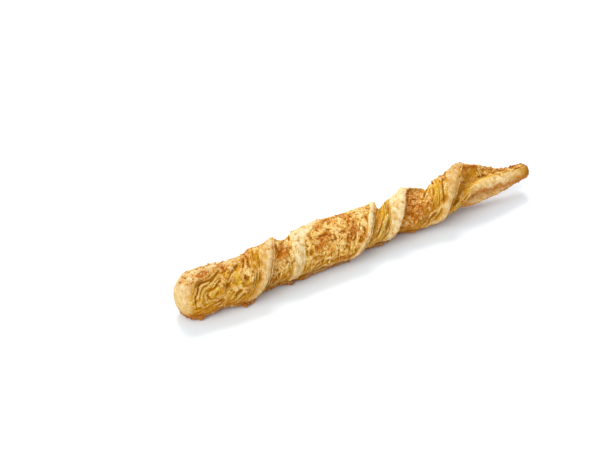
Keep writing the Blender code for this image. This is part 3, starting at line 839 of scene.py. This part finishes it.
class Finish:
    """A material and the short way to add nodes to it."""

    def __init__(self, name, **constants):
        self.material = bpy.data.materials.new(name)
        self.material.use_nodes = True
        self.tree = self.material.node_tree
        self.shader = self.tree.nodes["Principled BSDF"]
        for socket_name, value in constants.items():
            self.shader.inputs[socket_name.replace("_", " ")].default_value = value

    def node(self, kind, settings=None, sockets=None, output=0):
        """Adds a node: first its settings, then the values or links of its sockets."""
        node = self.tree.nodes.new("ShaderNode" + kind)
        for setting, value in (settings or {}).items():
            if setting == "stops":
                self.set_stops(node.color_ramp, value)
            else:
                setattr(node, setting, value)
        for socket, value in (sockets or {}).items():
            self.feed(node.inputs[socket], value)
        return Signal(self, node.outputs[output])

    def set_stops(self, ramp, stops):
        for _ in stops[2:]:
            ramp.elements.new(0.5)
        for element, (position, colour) in zip(ramp.elements, stops):
            element.position = position
            element.color = colour

    def feed(self, socket, value):
        if isinstance(value, Signal):
            self.tree.links.new(value.socket, socket)
        else:
            socket.default_value = value

    def blend(self, amount, under, over):
        """The colour under, covered by the colour over where amount is 1."""
        return self.node("Mix", {"data_type": "RGBA"}, {0: amount, 6: under, 7: over}, output=2)

    def painted(self, colour, coats):
        """The colour under a stack of coats, each given as (amount, colour)."""
        for amount, coat in coats:
            colour = self.blend(amount, colour, coat)
        return colour

    def ramp(self, low, high, value):
        """0 below low and 1 above high, with a soft step between."""
        return self.node("MapRange", {"interpolation_type": "SMOOTHSTEP"},
                         {"Value": value, "From Min": low, "From Max": high})

    def mask(self, name):
        """One of the masks stored on the mesh."""
        return self.node("Attribute", {"attribute_name": name}, output="Fac")

    def place(self, axis=None):
        """Where a point is in the object's own space, or how far it is along one axis."""
        point = self.node("TexCoord", output="Object")
        return self.node("SeparateXYZ", sockets={0: point}, output=axis) if axis else point

    def speckle(self, size, detail, shift=0.0):
        """Noise from 0 to 1 in the object's own space, with features of the given size."""
        moved = self.node("Mapping", sockets={"Vector": self.place(), "Location": (shift, shift, shift)})
        return self.node("TexNoise", sockets={"Vector": moved, "Scale": 1 / size, "Detail": detail,
                                              "Roughness": SPECKLE_ROUGHNESS})

    def finish(self, thing, base, roughness, bumps):
        """Connects the colour, roughness and bumps, and puts the material on a thing."""
        self.feed(self.shader.inputs["Base Color"], base)
        self.feed(self.shader.inputs["Roughness"], roughness)
        normal = None
        for height, depth in bumps:
            sockets = {"Height": height, "Distance": depth, "Strength": 1.0}
            if normal:
                sockets["Normal"] = normal
            normal = self.node("Bump", sockets=sockets)
        self.feed(self.shader.inputs["Normal"], normal)
        thing.data.materials.append(self.material)


print("Finish offers", [name for name in vars(Finish) if not name.startswith("_")])

# %% [markdown]
# Shaders add and multiply light itself, and a screen shows it on a curve. So a colour that was judged on
# a screen is turned into linear light before a shader gets it.


# %% Screen colours
def shade(red, green, blue):
    """A colour given as it looks on a screen, 0 to 255, in the linear light that shaders use."""
    shares = [c / 255 for c in (red, green, blue)]
    return (*[c / 12.92 if c <= 0.04045 else ((c + 0.055) / 1.055) ** 2.4 for c in shares], 1)


print("pale crust in linear light:", [round(c, 2) for c in shade(239, 202, 146)])

# %% [markdown]
# The pastry's colours follow the masks on its mesh and a few patterns. Noises of four sizes make
# patches, blotches and specks. Height counts as well: what is low is painted darker as shade and what is
# high lighter, and what is lowest fried by the tray.

# %% Patterns on the pastry
crust = Finish("baked_pastry_crust", Specular_IOR_Level=0.0, Coat_Roughness=0.36)
broad = crust.speckle(11 * MM, 2.0)
patch = crust.speckle(6 * MM, 2.0, shift=1.9)
blotch = crust.speckle(3.2 * MM, 3.0, shift=0.3)
fine = crust.speckle(0.9 * MM, 3.0, shift=0.7)
pebbles = crust.node("TexVoronoi",
                     sockets={"Vector": crust.place(), "Scale": 1 / (1.7 * MM), "Detail": 1.0})
height = crust.place("Z")
fried = 1 - crust.ramp(1 * MM, 5 * MM, height + (blotch - 0.5) * 4 * MM)
# Painted shade: colours turn darker towards the bottom of the stick and lighter towards its top
painted_shade_low_down = 1 - crust.ramp(8 * MM, 26 * MM, height + (patch - 0.5) * 24 * MM)
# Painted shade in the hollows and painted highlights on raised parts, both read from the cavity mask
hollow = crust.ramp(0.0, 0.9, crust.mask("cavity"))
raised = crust.ramp(0.0, 0.9, crust.mask("cavity") * -1)
thread = crust.node("Math", {"operation": "PINGPONG"}, {0: crust.mask("layers") * 2 + fine * 0.6, 1: 0.5})
toasted = crust.ramp(0.44, 0.62, broad * 0.3 + blotch * 0.7)
scorched = crust.ramp(0.53, 0.67, blotch * 0.45 + fine * 0.6)
brown = crust.mask("browned")
on_skin = crust.mask("skin")
on_cheese = crust.mask("cheese")
golden_here = crust.mask("golden")
print("patterns:", len(crust.tree.nodes), "nodes")

# %% [markdown]
# Pastry skin is a dry matt film. It is cream where it puffed up last, golden on its shoulders, and brown in
# specks where thin blisters scorched. It is painted darker low down and in hollows, and paler where it
# stands out.

# %% Colours of the skin
skin_colour = crust.painted(shade(250, 235, 188), (
    # painted shade low down
    (painted_shade_low_down * 0.32, shade(238, 207, 112)),
    (toasted * 0.4, shade(230, 188, 94)),
    (crust.ramp(0.4, 1.0, brown) * 0.4, shade(216, 152, 56)),
    (crust.ramp(0.3, 0.7, pebbles) * 0.15, shade(220, 174, 80)),
    (scorched * 0.5, shade(192, 120, 42)),
    (crust.ramp(0.2, 0.0, thread) * 0.25, shade(214, 162, 64)),
    # painted highlight on raised skin
    (raised * 0.45, shade(252, 236, 186)),
    (golden_here * 0.9, shade(194, 138, 38)),
    (crust.ramp(0.95, 1.35, golden_here) * 0.7, shade(142, 80, 16)),
    # painted shade in hollows, partly a darker bake
    (hollow * 0.7, shade(206, 146, 36))))
print("with the skin:", len(crust.tree.nodes), "nodes")

# %% [markdown]
# The open layers are yellower from the butter, with painted highlights on their crests and painted shade
# in the gaps. Cheese on them is orange-brown where it was browned, with painted highlights on its lumps.

# %% Colours of the layers and the cheese
layer_colour = crust.painted(shade(214, 158, 26), (
    (crust.ramp(-0.5, 0.5, crust.mask("tone")), shade(236, 192, 60)),
    (crust.ramp(0.05, 0.5, crust.mask("strand")) * 0.6, shade(244, 212, 118)),
    (crust.ramp(0.48, 0.64, patch) * 0.5, shade(226, 178, 38)),
    (brown * 0.5, shade(196, 116, 30)),
    (crust.ramp(0.5, 0.62, blotch) * 0.55, shade(206, 128, 40)),
    # painted highlight on the crests of the layers
    (crust.mask("crest") * 0.75, shade(250, 226, 152)),
    (crust.ramp(0.25, 0.0, thread) * 0.15, shade(176, 112, 22)),
    # painted highlight on raised layers
    (raised * 0.55, shade(250, 224, 146)),
    # painted shade in the gaps between layers
    (crust.mask("gap") * 0.95, shade(130, 70, 6)),
    # painted shade in hollows
    (hollow * 0.75, shade(142, 78, 6))))
cheese_colour = crust.painted(shade(232, 180, 48), (
    (brown, shade(192, 104, 6)),
    (crust.ramp(0.42, 0.62, blotch) * 0.25, shade(234, 182, 80)),
    # painted light on the upper parts of the cheese
    ((1 - painted_shade_low_down) * (1 - brown) * 0.5, shade(246, 210, 148)),
    # painted highlight on raised cheese
    (raised * (0.8 - brown * 0.5), shade(250, 222, 148)),
    # painted shade in hollows
    (hollow * 0.9, shade(154, 80, 4))))
print("with the layers and the cheese:", len(crust.tree.nodes), "nodes")

# %% [markdown]
# The masks join the three sets of colours. Over them lie butter, dark specks, pale specks that are painted
# glints on raised parts, painted shade low down, in the fold and in the undercut, and the browns of the
# underside (partly painted shade), the rim and what fried by the tray. A thin coat gives raised parts a
# faint greasy shine.

# %% Finish of the pastry
# Pale specks of the crust, which on raised parts are painted glints
specks_and_painted_glints = (raised * 0.6 + on_skin * 0.15 + 0.06) * (1 - golden_here * on_skin * 0.7)
colour = crust.painted(layer_colour, (
    (on_skin, skin_colour),
    (on_cheese, cheese_colour),
    (crust.mask("valley") * 0.55, shade(222, 158, 16)),
    (crust.mask("buttery") * 0.7, shade(252, 200, 80)),
    # painted shade in the fold between the roll and its flap
    (crust.mask("fold") * 0.75, shade(200, 122, 26)),
    (crust.ramp(0.5, 0.38, fine) * (0.6 - on_skin * 0.3), shade(180, 106, 6)),
    # painted shade low down
    (painted_shade_low_down * (0.45 - on_skin * 0.25), shade(184, 122, 4)),
    (crust.ramp(0.54, 0.64, fine) * specks_and_painted_glints, shade(253, 230, 168)),
    # underside: partly baked brown, partly painted shade
    (crust.mask("under") * 0.85, shade(186, 106, 22)),
    (fried * 0.9, shade(186, 108, 22)),
    (crust.mask("clump") * 0.7, shade(170, 96, 24)),
    # painted shade in the undercut above the rim
    (crust.mask("undercut") * 0.85, shade(124, 66, 6)),
    (crust.mask("tray") * 0.8, shade(160, 90, 20))))
roughness = 0.6 - on_cheese * 0.14 + (fine - 0.5) * 0.2
bumps = ((thread * (1 - on_skin * 0.6), 0.12 * MM),
         (pebbles * -1, 0.3 * MM),
         (blotch, 1.2 * MM),
         (fine, 0.55 * MM))
crust.feed(crust.shader.inputs["Coat Weight"], raised * 0.4 + on_skin * 0.15)
crust.finish(pastry, colour, roughness, bumps)
print("pastry finish:", len(crust.tree.nodes), "nodes")

# %% [markdown]
# Cheese that has melted and set again is smooth and a little greasy, so it is shinier than the dough.
# Each shred and crumb carries its own toast: cream, golden, orange-brown.

# %% Finishes of the loose cheese
melted = Finish("melted_cheese", Specular_IOR_Level=0.15)
wave = melted.speckle(2.2 * MM, 2.0)
pores = melted.speckle(0.6 * MM, 2.0, shift=0.4)
toast = melted.mask("toast") + (wave - 0.5) * 0.7
cheese_ramp = melted.node("ValToRGB", {"stops": ((0.0, shade(250, 222, 152)), (0.3, shade(232, 182, 80)),
                                                 (0.7, shade(204, 126, 40)), (1.0, shade(166, 88, 22)))},
                          {0: toast})
melted.finish(cheese_shreds, cheese_ramp, 0.42 + (pores - 0.5) * 0.25,
              [(wave, 0.3 * MM), (pores, 0.15 * MM)])

burnt = Finish("toasted_cheese", Specular_IOR_Level=0.1)
pit = burnt.speckle(0.8 * MM, 2.0)
crumb_ramp = burnt.node("ValToRGB", {"stops": ((0.0, shade(244, 212, 136)), (0.45, shade(216, 152, 66)),
                                               (1.0, shade(156, 84, 28)))},
                        {0: burnt.mask("toast") + (pit - 0.5) * 0.4})
burnt.finish(toasted_crumbs, crumb_ramp, 0.5 + (pit - 0.5) * 0.2, [(pit, 0.2 * MM)])
print("cheese finishes:", len(melted.tree.nodes), "and", len(burnt.tree.nodes), "nodes")

# %% [markdown]
# ## Joining the frame
# Every piece rides on the stick's only body and takes the place of its solid.

# %% Pieces
pieces = (pastry, cheese_shreds, toasted_crumbs)
for piece in pieces:
    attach(piece, "root")
    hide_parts(NODE)
print("pieces:", [piece.name for piece in pieces])

# %% [markdown]
# ## Setting, light and camera
# The stick was photographed on seamless white. A wide white floor under an even white sky gives that. The
# pastry throws warm light on the floor round it, which the camera took for white, so the floor is a little
# bluer near the stick.

# %% Floor
FLOOR_SIZE = 30.0
FLOOR_GAP = 0.05 * MM
BLUER_UP_TO, WHITE_FROM = 18 * MM, 40 * MM
BLUER = (0.875, 0.95, 1, 1)
NEARLY_WHITE = (0.93, 0.955, 0.975, 1)
half = FLOOR_SIZE / 2
corners = [(-half, -half, 0), (half, -half, 0), (half, half, 0), (-half, half, 0)]
floor_mesh = bpy.data.meshes.new("floor")
floor_mesh.from_pydata(corners, [], [(0, 1, 2, 3)])
floor = add_object("floor", floor_mesh)
floor.location.z = -FLOOR_GAP
white = Finish("white_floor", Roughness=0.9, Specular_IOR_Level=0.1)
aside = white.node("Math", {"operation": "ABSOLUTE"}, {0: white.place("Y")})
floor_colour = white.blend(white.ramp(BLUER_UP_TO, WHITE_FROM, aside), BLUER, NEARLY_WHITE)
white.feed(white.shader.inputs["Base Color"], floor_colour)
floor_mesh.materials.append(white.material)
print("floor", FLOOR_SIZE, "m wide")

# %% [markdown]
# A sun lamp shines evenly on everything, and its angle sets how soft the edges of shadows are. The main
# lamp stands almost straight behind the stick and draws the pale shadow in front of it. A much softer one
# lights its near side from the front left, and the white sky fills the shadows in.

# %% Light
SKY_STRENGTH = 0.66
# Strength of each lamp, then its softness, elevation and azimuth in degrees
LAMPS = {"main_lamp": (1.78, 24, 48, 64), "fill_lamp": (1.56, 52, 40, 198)}

world = bpy.data.worlds.new("white_sky")
world.use_nodes = True
bpy.context.scene.world = world
sky = world.node_tree.nodes["Background"].inputs
sky["Color"].default_value = (1, 1, 1, 1)
sky["Strength"].default_value = SKY_STRENGTH
for name, (strength, softness, elevation, azimuth) in LAMPS.items():
    lamp = bpy.data.lights.new(name, "SUN")
    lamp.energy = strength
    lamp.angle = math.radians(softness)
    turned = (math.radians(90 - elevation), 0, math.radians(azimuth + 90))
    add_object(name, lamp).rotation_euler = turned
bpy.context.scene.view_settings.view_transform = "Standard"
print("lamps:", list(LAMPS))

# %% [markdown]
# The camera looks down at 36 degrees and along the stick from its head, so the stick rises to the
# right. It is set by where it looks, from how far and along which direction.

# %% Camera
TARGET = Vector((-24.0 * MM, 46.4 * MM, 0))
DISTANCE = 1.0441
CAMERA_ELEVATION = math.radians(36)
CAMERA_AZIMUTH = math.radians(-31.352)
FOCAL_LENGTH = 85  # millimetres, as the sensor's width
SENSOR_WIDTH = 36

camera_data = bpy.data.cameras.new("camera")
camera_data.lens = FOCAL_LENGTH
camera_data.sensor_width = SENSOR_WIDTH
camera = add_object("camera", camera_data)
back = Vector((math.sin(CAMERA_AZIMUTH) * math.cos(CAMERA_ELEVATION),
               -math.cos(CAMERA_AZIMUTH) * math.cos(CAMERA_ELEVATION), math.sin(CAMERA_ELEVATION)))
right = Vector((math.cos(CAMERA_AZIMUTH), math.sin(CAMERA_AZIMUTH), 0))
rotation = Matrix((right, back.cross(right), back)).transposed()
camera.matrix_world = Matrix.LocRotScale(TARGET + back * DISTANCE, rotation.to_quaternion(), None)
bpy.context.scene.camera = camera
print("camera at", [round(c, 3) for c in camera.location])

# %% [markdown]
